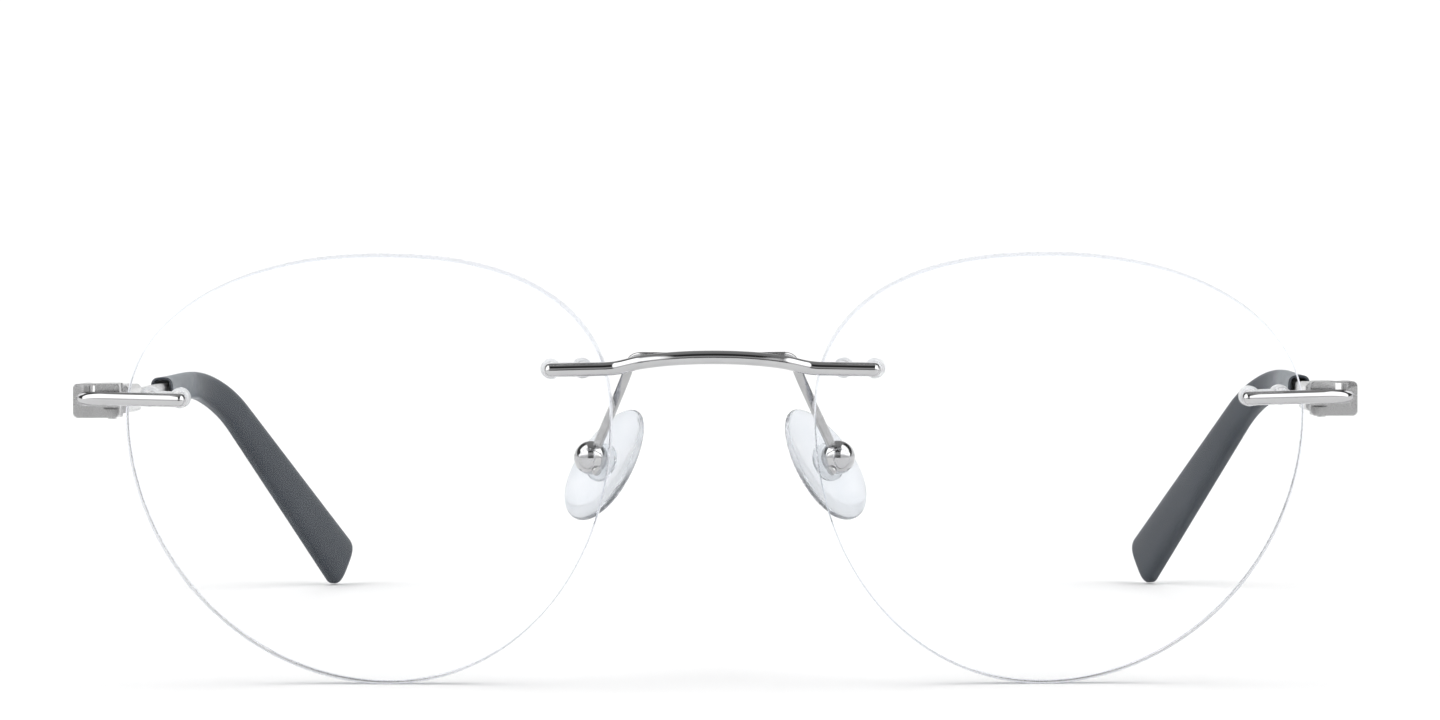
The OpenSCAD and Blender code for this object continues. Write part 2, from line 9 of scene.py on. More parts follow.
import bmesh
import bpy
import numpy as np
from mathutils import Euler, Matrix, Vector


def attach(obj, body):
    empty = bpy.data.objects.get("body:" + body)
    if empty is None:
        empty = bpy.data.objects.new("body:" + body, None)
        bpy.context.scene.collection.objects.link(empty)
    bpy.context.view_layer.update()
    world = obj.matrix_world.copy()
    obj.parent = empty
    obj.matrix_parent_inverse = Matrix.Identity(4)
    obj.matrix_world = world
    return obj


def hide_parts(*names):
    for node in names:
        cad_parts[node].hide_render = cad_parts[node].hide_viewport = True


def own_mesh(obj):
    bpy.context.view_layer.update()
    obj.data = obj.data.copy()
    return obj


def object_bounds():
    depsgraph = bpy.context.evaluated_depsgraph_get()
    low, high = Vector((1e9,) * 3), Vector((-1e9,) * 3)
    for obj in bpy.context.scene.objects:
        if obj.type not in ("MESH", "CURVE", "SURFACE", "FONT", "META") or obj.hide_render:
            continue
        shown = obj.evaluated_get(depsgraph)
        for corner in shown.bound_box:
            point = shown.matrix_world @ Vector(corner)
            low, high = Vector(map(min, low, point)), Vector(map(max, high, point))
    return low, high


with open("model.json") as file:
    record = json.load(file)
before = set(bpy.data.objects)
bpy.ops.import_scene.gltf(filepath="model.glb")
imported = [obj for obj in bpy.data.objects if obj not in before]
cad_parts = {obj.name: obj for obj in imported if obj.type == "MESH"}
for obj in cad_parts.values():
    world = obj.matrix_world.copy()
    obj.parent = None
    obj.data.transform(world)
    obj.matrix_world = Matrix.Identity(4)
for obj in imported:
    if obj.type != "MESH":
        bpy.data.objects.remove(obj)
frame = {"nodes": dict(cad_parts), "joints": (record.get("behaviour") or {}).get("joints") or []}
cad_low, cad_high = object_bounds()

MM = 0.001
SIDES = {"left": 1, "right": -1}
nodes = frame["nodes"]
joints = {j["name"]: j for j in frame["joints"]}


# ---- Turning and placing points ----

def turn(points, axis, degrees):
    """Points turned about one of the axes through the origin."""
    matrix = Matrix.Rotation(math.radians(degrees), 3, axis)
    return np.asarray(points, float) @ np.array(matrix).T


def unit(v):
    """A vector's direction, at length 1."""
    return v / np.linalg.norm(v)


def ramp(t):
    """0 before 0, 1 after 1, and straight between."""
    return min(1.0, max(0.0, t))


def smooth(t):
    """As ramp, but starting and ending gently."""
    u = ramp(t)
    return u * u * (3 - 2 * u)


def straight(a, b, n=8):
    """n + 1 points evenly from a to b."""
    return [a + (b - a) * k / n for k in range(n + 1)]


def bezier(a, b, c, d, n):
    """n + 1 points of a cubic curve, without its first point."""
    a, b, c, d = (np.array(p, float) for p in (a, b, c, d))
    t = np.linspace(0, 1, n + 1)[1:, None]
    u = 1 - t
    return u**3 * a + 3 * u * u * t * b + 3 * u * t * t * c + t**3 * d


# ---- The object's own driving sizes, as in the CAD part ----

LENS_W, LENS_H, LENS_T = 50.0, 44.4, 2.0
LENS_X = 21.0 / 2 + LENS_W / 2
LENS_WIDEST_Z = 27.6
LENS_R = 115.0
LENS_WRAP = 3.0
LENS_SHIFT = 1.5
LENS_MID_Z = LENS_H / 2
FRONT_LEAN = 6.0
TEMPLE_SLOPE = 1.9
BRIDGE_ARM_Z, BRIDGE_RISE, BRIDGE_ARCH = 32.8, 1.4, 0.62
BRIDGE_SITE = (14.7 - LENS_X, BRIDGE_ARM_Z)
ENDPIECE_Z = 29.5
ENDPIECE_SITE = (57.0 - LENS_X, ENDPIECE_Z)
STUD_SPACING = 3.2
HOLE_R = 0.8
BAR_H, BAR_D = 1.4, 1.3
BAR_BACK = 0.38
BAR_GAP = 0.08
BAR_Y = -BAR_BACK * BAR_D - BAR_GAP
HINGE_IN_FRONT = (62.6, 12.0, 28.1)


def sag(d):
    """How far the lens's front has curved back at a distance from its middle."""
    return LENS_R - math.sqrt(LENS_R**2 - d * d)


FOOT_Y = sag(LENS_MID_Z)


def lean(points):
    """The front's upright axes to its leaning stance."""
    foot = np.array([0, FOOT_Y, 0])
    return turn(np.asarray(points, float) - foot, "X", FRONT_LEAN) + foot


HINGE = np.array(joints["temple_fold_left"]["pos_m"]) / MM
MIDDLE_Y = lean(HINGE_IN_FRONT)[1] - HINGE[1]


def in_front(points, side):
    """From the front's upright axes to the part's, mirrored for the right side."""
    return (lean(points) - [0, MIDDLE_Y, 0]) * [side, 1, 1]


def at_hinge(points, side):
    """From a temple's axes at its hinge, y along it, to the part's."""
    return (turn(points, "X", -TEMPLE_SLOPE) + HINGE) * [side, 1, 1]


def from_lens(points):
    """From the lens's axes, square to it, to the front's upright axes."""
    return turn(points, "Z", LENS_WRAP) + [LENS_X, 0, 0]


def from_site(site, points):
    """From the axes of a place on the lens's front: x along it, y into the lens, z up."""
    across, z = site
    p = np.asarray(points, float) - [0, LENS_R, 0]
    p = turn(p, "X", -math.degrees(math.asin((z - LENS_MID_Z) / LENS_R)))
    p = turn(p, "Z", math.degrees(math.asin(across / LENS_R)))
    return from_lens(p + [0, LENS_R, LENS_MID_Z])


# ---- Making meshes ----

def closed_mesh(name, points, faces):
    """A mesh from points in millimetres, with its normals turned outwards."""
    mesh = bpy.data.meshes.new(name)
    mesh.from_pydata([tuple(p) for p in np.asarray(points, float) * MM], [], faces)
    shape = bmesh.new()
    shape.from_mesh(mesh)
    bmesh.ops.recalc_face_normals(shape, faces=shape.faces)
    shape.to_mesh(mesh)
    shape.free()
    return mesh


def make(name, points, faces, materials, body, stands_for, sharp, face_slots=None):
    """A smooth piece from a closed mesh. Edges sharper than the angle stay crisp."""
    mesh = closed_mesh(name, points, faces)
    for material in materials:
        mesh.materials.append(material)
    if face_slots is not None:
        mesh.polygons.foreach_set("material_index", np.array(face_slots, np.int32))
    return settle(bpy.data.objects.new(name, mesh), body, stands_for, sharp)


def settle(piece, body, stands_for, sharp):
    """Links a finished piece, shades it smooth, and puts it on its body."""
    bpy.context.scene.collection.objects.link(piece)
    piece.data.shade_smooth()
    piece.data.set_sharp_from_angle(angle=math.radians(sharp))
    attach(piece, body)
    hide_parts(*stands_for)
    return piece


def skin(rings):
    """Points and faces of a closed solid through rings that all have the same number of points."""
    n = len(rings[0])
    last = len(rings) - 1
    faces = [tuple(range(n - 1, -1, -1))]
    for k in range(last):
        a, b = k * n, (k + 1) * n
        faces += [(a + i, a + (i + 1) % n, b + (i + 1) % n, b + i) for i in range(n)]
    faces.append(tuple(last * n + i for i in range(n)))
    return np.vstack(rings), faces


def soft_box(w, h, power, n):
    """A rounded rectangle as a superellipse of [across, up] pairs."""
    t = (np.arange(n) + 0.5) / n * 2 * math.pi
    c, s = np.cos(t), np.sin(t)
    across = w / 2 * np.abs(c) ** (2 / power) * np.sign(c)
    up = h / 2 * np.abs(s) ** (2 / power) * np.sign(s)
    return np.stack([across, up], 1)


def ring(centre, direction, section):
    """A section stood square across a direction, at a centre."""
    across = unit(np.cross(direction, [0, 0, 1]))
    up = np.cross(across, direction)
    return np.asarray(centre) + section[:, :1] * across + section[:, 1:] * up


def directions(path):
    """The direction of a path at each of its points."""
    path = np.asarray(path)
    ahead = np.vstack([path[1:], path[-1:]])
    behind = np.vstack([path[:1], path[:-1]])
    return [unit(d) for d in ahead - behind]


# ---- Materials ----

def fill_ramp(node, stops):
    """Sets the (place, colour) stops of a colour ramp."""
    elements = node.color_ramp.elements
    while len(elements) < len(stops):
        elements.new(0.5)
    for element, (position, colour) in zip(elements, stops):
        element.position = position
        element.color = (*colour, 1)


class Shader:
    """A Principled material whose textures are measured in the object's own millimetres."""

    def __init__(self, name, **sockets):
        self.material = bpy.data.materials.new(name)
        self.material.use_nodes = True
        self.tree = self.material.node_tree
        self.principled = self.tree.nodes["Principled BSDF"]
        for key, value in sockets.items():
            self.principled.inputs[key.replace("_", " ")].default_value = value
        self.place = self.tree.nodes.new("ShaderNodeTexCoord").outputs["Object"]

    def mapped(self, stretch):
        """Object coordinates in millimetres, divided by a grain size along each axis."""
        node = self.tree.nodes.new("ShaderNodeMapping")
        node.vector_type = "POINT"
        node.inputs["Scale"].default_value = [1 / (MM * s) for s in stretch]
        self.tree.links.new(self.place, node.inputs["Vector"])
        return node.outputs["Vector"]

    def noise(self, stretch, detail=4.0, roughness=0.55):
        """Cloudy noise with a grain of so many millimetres along each axis."""
        node = self.tree.nodes.new("ShaderNodeTexNoise")
        node.inputs["Scale"].default_value = 1.0
        node.inputs["Detail"].default_value = detail
        node.inputs["Roughness"].default_value = roughness
        self.tree.links.new(self.mapped(stretch), node.inputs["Vector"])
        return node.outputs["Fac"]

    def between(self, factor, low, high, socket):
        """Drives a number of the shader between two values."""
        node = self.tree.nodes.new("ShaderNodeMapRange")
        node.inputs["From Min"].default_value = 0.3
        node.inputs["From Max"].default_value = 0.7
        node.inputs["To Min"].default_value = low
        node.inputs["To Max"].default_value = high
        self.tree.links.new(factor, node.inputs["Value"])
        self.tree.links.new(node.outputs["Result"], self.principled.inputs[socket])

    def colours(self, factor, *stops):
        """Drives the base colour through (place, colour) stops."""
        node = self.tree.nodes.new("ShaderNodeValToRGB")
        fill_ramp(node, stops)
        self.tree.links.new(factor, node.inputs["Fac"])
        self.tree.links.new(node.outputs["Color"], self.principled.inputs["Base Color"])

    def bump(self, factor, height, strength=1.0):
        """Raises the surface by a height in millimetres."""
        node = self.tree.nodes.new("ShaderNodeBump")
        node.inputs["Strength"].default_value = strength
        node.inputs["Distance"].default_value = height * MM
        self.tree.links.new(factor, node.inputs["Height"])
        self.tree.links.new(node.outputs["Normal"], self.principled.inputs["Normal"])
        return self.material

    def lets_light_through(self, share):
        """Rays from lamps go straight through, as they do through a thin clear plate."""
        open_way = self.tree.nodes.new("ShaderNodeBsdfTransparent")
        open_way.inputs["Color"].default_value = (share, share, share, 1)
        either = self.tree.nodes.new("ShaderNodeMixShader")
        path = self.tree.nodes.new("ShaderNodeLightPath")
        self.tree.links.new(path.outputs["Is Shadow Ray"], either.inputs["Fac"])
        self.tree.links.new(self.principled.outputs["BSDF"], either.inputs[1])
        self.tree.links.new(open_way.outputs["BSDF"], either.inputs[2])
        surface = self.tree.nodes["Material Output"].inputs["Surface"]
        self.tree.links.new(either.outputs["Shader"], surface)
        return self.material


def polished_steel():
    """The bars and the pads' balls."""
    s = Shader("steel_polished", Metallic=1.0)
    drift = s.noise((4, 4, 4))
    s.colours(drift, (0.3, (0.50, 0.50, 0.51)), (0.7, (0.56, 0.56, 0.565)))
    s.between(s.noise((1.2, 1.2, 0.4)), 0.035, 0.075, "Roughness")
    return s.bump(s.noise((2.5, 0.4, 0.4), 6.0), 0.0015)


def satin_steel():
    """Hinge blocks, spring boxes, studs and shaft wires."""
    s = Shader("steel_satin", Metallic=1.0)
    grain = s.noise((0.06, 0.06, 0.06), 2.0, 0.6)
    s.colours(s.noise((1.1, 1.1, 1.1)), (0.3, (0.60, 0.60, 0.605)), (0.7, (0.68, 0.68, 0.685)))
    s.between(grain, 0.24, 0.30, "Roughness")
    return s.bump(grain, 0.0006, 0.5)


def drawn_steel():
    """The pad arms' wire, darker and smoother than the satin."""
    s = Shader("steel_drawn", Metallic=1.0)
    s.colours(s.noise((1.5, 1.5, 1.5)), (0.3, (0.43, 0.43, 0.435)), (0.7, (0.51, 0.51, 0.515)))
    s.between(s.noise((0.3, 0.3, 1.2)), 0.15, 0.24, "Roughness")
    return s.bump(s.noise((0.25, 0.25, 1.5), 2.0), 0.001)


def turned_steel():
    """Screws, stops and coil springs."""
    s = Shader("steel_screw", Metallic=1.0)
    s.colours(s.noise((0.5, 0.5, 0.5)), (0.3, (0.46, 0.46, 0.465)), (0.7, (0.56, 0.56, 0.56)))
    s.between(s.noise((0.6, 0.6, 0.05)), 0.12, 0.24, "Roughness")
    return s.bump(s.noise((0.6, 0.6, 0.05), 2.0), 0.003)


def tip_plastic():
    """Dark blue-grey, with a little sheen for its matt bloom."""
    s = Shader("tip_plastic", Specular_IOR_Level=0.22, Sheen_Weight=0.22, Sheen_Roughness=0.3)
    s.principled.inputs["Sheen Tint"].default_value = (0.80, 0.90, 1.0, 1)
    cloud = s.noise((5, 9, 5), 5.0)
    s.colours(cloud, (0.25, (0.027, 0.033, 0.043)), (0.75, (0.038, 0.045, 0.056)))
    s.between(s.noise((0.8, 1.6, 0.8)), 0.30, 0.40, "Roughness")
    return s.bump(s.noise((0.12, 0.12, 0.12), 3.0, 0.65), 0.003, 0.5)


def clear_lens():
    """An index far below glass stands for a coating that takes most reflections away."""
    s = Shader("lens_clear", Transmission_Weight=1.0, IOR=1.18)
    drift = s.noise((14, 14, 14), 2.0)
    s.colours(drift, (0.3, (0.990, 0.994, 0.998)), (0.7, (0.996, 0.998, 1.0)))
    s.between(s.noise((6, 6, 6), 3.0), 0.0, 0.006, "Roughness")
    return s.lets_light_through(0.98)


def lens_edge():
    """The ground rim, frosted where the faces are clear."""
    s = Shader("lens_edge", Transmission_Weight=1.0, IOR=1.45)
    s.colours(s.noise((3.0, 3.0, 3.0)), (0.3, (0.68, 0.71, 0.80)), (0.7, (0.75, 0.78, 0.86)))
    s.between(s.noise((0.5, 0.5, 0.5)), 0.22, 0.34, "Roughness")
    return s.bump(s.noise((2.0, 2.0, 2.0), 2.0), 0.002)


def clear_plug():
    """The milky plastic in the lens holes."""
    s = Shader("plug_clear", Transmission_Weight=0.62, IOR=1.25)
    s.colours(s.noise((1.1, 1.1, 1.1), 2.0), (0.3, (0.90, 0.91, 0.93)), (0.7, (0.95, 0.955, 0.965)))
    s.between(s.noise((0.8, 0.8, 0.8), 2.0), 0.28, 0.40, "Roughness")
    return s.bump(s.noise((0.9, 0.9, 0.9), 1.0), 0.002, 0.5)


def silicone():
    """Soft and clear. A low index keeps its outline from going dark."""
    s = Shader("silicone", Transmission_Weight=0.9, IOR=1.19)
    s.colours(s.noise((2.2, 2.2, 2.2), 2.0), (0.3, (0.79, 0.82, 0.86)), (0.7, (0.86, 0.88, 0.91)))
    s.between(s.noise((1.3, 1.3, 1.3), 2.0), 0.11, 0.22, "Roughness")
    return s.bump(s.noise((2.4, 2.4, 2.4), 0.5), 0.012, 0.5)


def clear_core():
    """The stiff clear piece inside a pad."""
    s = Shader("pad_core_clear", Transmission_Weight=0.95, IOR=1.2)
    s.colours(s.noise((1, 1, 1)), (0.3, (0.88, 0.90, 0.92)), (0.7, (0.94, 0.95, 0.96)))
    s.between(s.noise((0.5, 0.5, 0.5)), 0.04, 0.12, "Roughness")
    return s.bump(s.noise((0.3, 0.3, 0.3)), 0.003)


def floor_paint():
    """Matt and almost white."""
    s = Shader("floor", Specular_IOR_Level=0.1)
    s.colours(s.noise((60, 60, 60)), (0.3, (0.84, 0.84, 0.84)), (0.7, (0.855, 0.855, 0.855)))
    s.principled.inputs["Roughness"].default_value = 0.9
    return s.material


SOFT_EDGE = 0.05
CHROME = polished_steel()
SATIN = satin_steel()
DRAWN = drawn_steel()
TURNED = turned_steel()
TIP = tip_plastic()
LENS = clear_lens()
EDGE = lens_edge()
PLUG = clear_plug()
SILICONE = silicone()
CORE = clear_core()


def dress(prefixes, material):
    """Gives CAD nodes that stay their material and softly broken edges."""
    for name, piece in nodes.items():
        if name.startswith(prefixes):
            piece.data.materials.clear()
            piece.data.materials.append(material)
            piece.data.shade_smooth()
            piece.modifiers.new("weld", "WELD").merge_threshold = 0.001 * MM
            bevel = piece.modifiers.new("bevel", "BEVEL")
            bevel.width, bevel.segments = SOFT_EDGE * MM, 2
            bevel.limit_method, bevel.angle_limit = "ANGLE", math.radians(35)
            bevel.use_clamp_overlap = True
            piece.modifiers.new("normals", "WEIGHTED_NORMAL").weight = 80


# ---- Lenses ----

QUARTERS = (
    (LENS_W / 2 + LENS_SHIFT, LENS_H - LENS_WIDEST_Z, 2.1),
    (LENS_W / 2 - LENS_SHIFT, LENS_H - LENS_WIDEST_Z, 2.35),
    (LENS_W / 2 - LENS_SHIFT, LENS_WIDEST_Z, 2.06),
    (LENS_W / 2 + LENS_SHIFT, LENS_WIDEST_Z, 1.96),
)
OUTLINE_STEPS = 60
EDGE_BEVEL = 0.14
EDGE_ROUNDING = 0.3
LENS_CREASE = 10


def lens_outline():
    """The lens seen from the front, a quarter at a time, each a superellipse of its own."""
    points = []
    for q, (a, b, power) in enumerate(QUARTERS):
        for i in range(OUTLINE_STEPS):
            t = (q + i / OUTLINE_STEPS) * math.pi / 2
            c, s = math.cos(t), math.sin(t)
            points.append([
                a * abs(c) ** (2 / power) * math.copysign(1, c) - LENS_SHIFT,
                b * abs(s) ** (2 / power) * math.copysign(1, s) + LENS_WIDEST_Z,
            ])
    return np.array(points)


def lens_rings():
    """Rings from the middle of the front face, over the edge, to the middle of the back face."""
    outline = lens_outline()
    middle = np.array([0, LENS_MID_Z])
    spread = outline - middle
    reach = np.linalg.norm(spread, axis=1, keepdims=True)
    inset = 1 - EDGE_BEVEL / reach
    full = np.ones_like(reach)
    rounded = 1 - EDGE_ROUNDING * (1 - inset)
    lift = EDGE_ROUNDING * EDGE_BEVEL

    def surface(scale, radius, back=0.0):
        """The outline at a share of its size, on a sphere and moved back by a little."""
        q = middle + spread * scale
        d2 = q[:, 0] ** 2 + (q[:, 1] - LENS_MID_Z) ** 2
        y = LENS_R - np.sqrt(radius**2 - d2) + back
        return np.stack([q[:, 0], y, q[:, 1]], 1)

    inner = LENS_R - LENS_T
    shares = (0.02, 0.15, 0.3, 0.45, 0.6, 0.72, 0.82, 0.9, 0.96)
    rings = [surface(k * inset, LENS_R) for k in shares] + [surface(inset, LENS_R)]
    rings += [surface(rounded, LENS_R, lift), surface(full, LENS_R, EDGE_BEVEL)]
    rings += [surface(full, inner, -EDGE_BEVEL), surface(rounded, inner, -lift)]
    rings += [surface(inset, inner)] + [surface(k * inset, inner) for k in reversed(shares)]
    return rings, len(shares)


def cylinder_between(start, end, radius, sides=40):
    """Points and faces of a plain cylinder, used to cut a hole."""
    axis = unit(np.asarray(end) - start)
    across = unit(np.cross(axis, [0, 0, 1]))
    up = np.cross(across, axis)
    t = np.arange(sides) / sides * 2 * math.pi
    circle = radius * (np.cos(t)[:, None] * across + np.sin(t)[:, None] * up)
    return skin([start + circle, end + circle])


def lens(label, side):
    """Clear faces and a ground edge, with the four holes for the studs."""
    rings, faces_in = lens_rings()
    n = len(rings[0])
    points, faces = skin([in_front(from_lens(r), side) for r in rings])
    edge_from, edge_to = 1 + n * faces_in, 1 + n * (len(rings) - 1 - faces_in)
    slots = [1 if edge_from <= i < edge_to else 0 for i in range(len(faces))]
    stands_for = [f"lens_{label}"]
    piece = make(
        f"clear_lens_{label}", points, faces, [LENS, EDGE], "front", stands_for,
        LENS_CREASE, slots)
    for site in (BRIDGE_SITE, ENDPIECE_SITE):
        for x in (-STUD_SPACING / 2, STUD_SPACING / 2):
            start, end = from_site(site, [[x, -2, 0], [x, 6, 0]])
            cut(piece, [in_front(p, side) for p in (start, end)], HOLE_R)
    piece.data.set_sharp_from_angle(angle=math.radians(LENS_CREASE))


def cut(piece, ends, radius):
    """Bores a round hole through a piece."""
    cutter = bpy.data.objects.new("cutter", closed_mesh("cutter", *cylinder_between(*ends, radius)))
    bpy.context.scene.collection.objects.link(cutter)
    modifier = piece.modifiers.new("hole", "BOOLEAN")
    modifier.operation = "DIFFERENCE"
    modifier.object = cutter
    modifier.solver = "EXACT"
    bpy.context.view_layer.update()
    graph = bpy.context.evaluated_depsgraph_get()
    bored = bpy.data.meshes.new_from_object(piece.evaluated_get(graph))
    piece.modifiers.clear()
    piece.data = bored
    bpy.data.objects.remove(cutter)


# ---- Bars ----

BAR_SIDES = 44


def bar_section(k):
    """A wire's section, round in front and nearly flat behind, at a share of its size."""
    t = (np.arange(BAR_SIDES) + 0.5) / BAR_SIDES * 2 * math.pi
    c, s = np.cos(t), np.sin(t)
    across = np.where(c > 0, (1 - BAR_BACK) * BAR_D * c, -BAR_BACK * BAR_D * np.sqrt(np.abs(c)))
    return k * np.stack([across, BAR_H / 2 * s], 1)


def bar(name, path, side, stands_for):
    """A wire bar with bullet ends."""
    path = np.asarray(path)
    d = directions(path)
    dome = [(0.64 * math.sin(a), math.cos(a)) for a in np.radians([84, 72, 60, 48, 36, 24, 12])]
    rings = [ring(path[0] - out * d[0], d[0], bar_section(k)) for out, k in dome]
    rings += [ring(p, v, bar_section(1)) for p, v in zip(path, d)]
    rings += [ring(path[-1] + out * d[-1], d[-1], bar_section(k)) for out, k in reversed(dome)]
    points, faces = skin([in_front(r, side) for r in rings])
    return make(name, points, faces, [CHROME], "front", stands_for, 50)


BRIDGE_MID = np.array([0, 0.1, BRIDGE_ARM_Z + BRIDGE_RISE])
BRIDGE_HUMP = np.array([7.4, 0.75, BRIDGE_ARM_Z + BRIDGE_RISE - BRIDGE_ARCH])


def bridge_path():
    """Arm, shoulder and half the arch on one side, then the same mirrored."""
    tip, inner = from_site(BRIDGE_SITE, [[1.9, BAR_Y, 0], [-3.4, BAR_Y, 0]])
    d = unit(inner - tip)
    shoulder = bezier(inner, inner + 1.7 * d, BRIDGE_HUMP + [1.7, 0.15, -0.38], BRIDGE_HUMP, 28)
    span = bezier(BRIDGE_HUMP, BRIDGE_HUMP + [-2.2, -0.2, 0.38], BRIDGE_MID + [2.8, 0, 0], BRIDGE_MID, 24)
    half = np.vstack([straight(tip, inner), shoulder, span])
    return np.vstack([half, half[-2::-1] * [-1, 1, 1]])[::-1]


def endpiece_path():
    """Straight over the studs, then wrapped back round the corner to the hinge."""
    tip, outer = from_site(ENDPIECE_SITE, [[-2.55, BAR_Y, 0], [5.4, BAR_Y, -0.1]])
    d = unit(outer - tip)
    x, y, _ = HINGE_IN_FRONT
    corner_end = np.array([x + 2.5, y - 4.1, ENDPIECE_Z - 0.6])
    wrap = bezier(outer, outer + 2.6 * d, corner_end + [0.1, -1.9, 0.15], corner_end, 34)
    return np.vstack([straight(tip, outer), wrap])


# ---- Nose pads and their arms ----

PAD_BALL = np.array([12.75, 7.5, 22.7])
PAD_SPLAY, PAD_FRONTAL = 40.0, 33.0
PAD_L, PAD_W = 13.0, 7.8
PAD_WIRE_T, PAD_WIRE_W = 0.72, 0.98
CORE_BACK = -1.45


def at_pad(points, side):
    """From a pad's axes at the centre of its ball to the part's."""
    p = turn(turn(points, "Z", -PAD_SPLAY), "Y", -PAD_FRONTAL) + PAD_BALL
    return in_front(p, side)


def pad_arm(label, side):
    """The flat wire from the back of the bridge, down and back to the pad's ball."""
    root = np.array([0.3, 0.82, BRIDGE_MID[2] - 0.12])
    shoulder = np.array([7.2, 1.42, BRIDGE_MID[2] - 0.12])
    knee = np.array([8.8, 2.6, BRIDGE_ARM_Z - 0.7])
    end = PAD_BALL + [-0.55, -0.35, 1.0]
    path = np.vstack([
        [root],
        bezier(root, root + [3, 0, 0], shoulder + [-2, -0.22, 0.02], shoulder, 12),
        bezier(shoulder, shoulder + [1.2, 0.17, -0.02], knee + [-0.4, -0.55, 1.1], knee, 24),
        bezier(knee, knee + [0.8, 1.1, -2.2], end + [-1.1, -1.4, 2.8], end, 20),
    ])
    section = soft_box(PAD_WIRE_T, PAD_WIRE_W, 3.4, 28)
    rings = []
    for p, d in zip(path, directions(path)):
        wide = unit(np.cross(d, [0, 1, 0]))
        deep = np.cross(wide, d)
        rings.append(p + section[:, 1:] * wide - section[:, :1] * deep)
    points, faces = skin([in_front(r, side) for r in rings])
    make(f"pad_wire_{label}", points, faces, [DRAWN], "front", [f"pad_arm_{label}"], 40)


# From the pad's flat back to its domed face: a depth, and the share of its full outline there.
PAD_PROFILE = (
    (0.0, 0.30), (0.0, 0.60), (0.05, 0.80), (0.22, 0.93), (0.5, 0.99), (0.85, 1.0),
    (1.2, 0.965), (1.55, 0.86), (1.85, 0.64), (2.03, 0.38), (2.1, 0.14),
)
PAD_SIDES = 48


def nose_pad(label, side):
    """A soft drop shape, a little narrower at the top."""
    t = np.arange(PAD_SIDES) / PAD_SIDES * 2 * math.pi
    rings = []
    for depth, k in PAD_PROFILE:
        y = k * PAD_W / 2 * np.cos(t) * (1 - 0.14 * np.sin(t))
        z = k * PAD_L / 2 * np.sin(t)
        rings.append(at_pad(np.stack([np.full_like(y, CORE_BACK - depth), y, z], 1), side))
    points, faces = skin(rings)
    stands_for = [f"nose_pad_{label}"]
    piece = make(
        f"silicone_pad_{label}", points, faces, [SILICONE], f"pad_{label}", stands_for, 180)
    round_off = piece.modifiers.new("rounding", "SUBSURF")
    round_off.levels = round_off.render_levels = 2


# ---- Temples ----

TEMPLE_STRAIGHT, EAR_BEND, EAR_INWARD = 90.0, 38.0, 26.5
BEND_R = 20.0
BEND_LENGTH = BEND_R * math.radians(EAR_BEND)
INWARD_START, INWARD_LENGTH = TEMPLE_STRAIGHT - 6, 16.0
STEP, REACH = 0.25, 150.0


def temple_direction(s):
    """Where the temple's line heads at a distance along it."""
    yaw = 1.9 * (smooth((s - 5) / 8) - smooth((s - 50) / 20))
    yaw -= EAR_INWARD * smooth((s - INWARD_START) / INWARD_LENGTH)
    pitch = -EAR_BEND * ramp((s - TEMPLE_STRAIGHT) / BEND_LENGTH)
    w, v = math.radians(yaw), math.radians(pitch)
    return np.array([math.sin(w) * math.cos(v), math.cos(w) * math.cos(v), math.sin(v)])


STEPS = np.array([STEP * temple_direction((i + 0.5) * STEP) for i in range(round(REACH / STEP))])
TEMPLE_LINE = np.vstack([[0, 0, 0], np.cumsum(STEPS, 0)])


def temple_point(s):
    """The place on the temple's line at a distance along it."""
    i = int(s / STEP)
    f = s / STEP - i
    return TEMPLE_LINE[i] * (1 - f) + TEMPLE_LINE[i + 1] * f


TIP_START, TIP_END = 61.0, 133.566
TIP_H_FRONT, TIP_H_BEND, TIP_H_END, TIP_T = 2.75, 3.2, 6.4, 2.0
TIP_SIDES, TIP_POWER, TIP_CORNER = 44, 3.2, 1.4
SHAFT_H, SHAFT_T, SHAFT_POWER = 1.4, 1.0, 5
SHAFT_START, SHAFT_END = 13.98, 118.0
POCKET_GAP = 0.1


def tip_height(s):
    """Grows slowly to the ear bend, then faster to the paddle's rounded end."""
    grown = TIP_H_FRONT + (TIP_H_BEND - TIP_H_FRONT) * smooth((s - TIP_START) / 34)
    grown += (TIP_H_END - TIP_H_BEND) * ramp((s - TEMPLE_STRAIGHT - 2) / 40)
    left = max(0.0, TIP_CORNER - (TIP_END - s))
    return grown - 2 * (TIP_CORNER - math.sqrt(TIP_CORNER**2 - left * left))


def tip_thickness(s):
    """Thicker at the mouth, and thinned over the last of the end."""
    left = max(0.0, 0.8 - (TIP_END - s))
    return TIP_T + 0.5 * (1 - smooth((s - TIP_START) / 12)) - 1.1 * left * left


def temple_skin(stations, side):
    """The solid through sections at distances along the temple."""
    return skin([
        at_hinge(ring(temple_point(s), temple_direction(s), section), side) for s, section in stations])


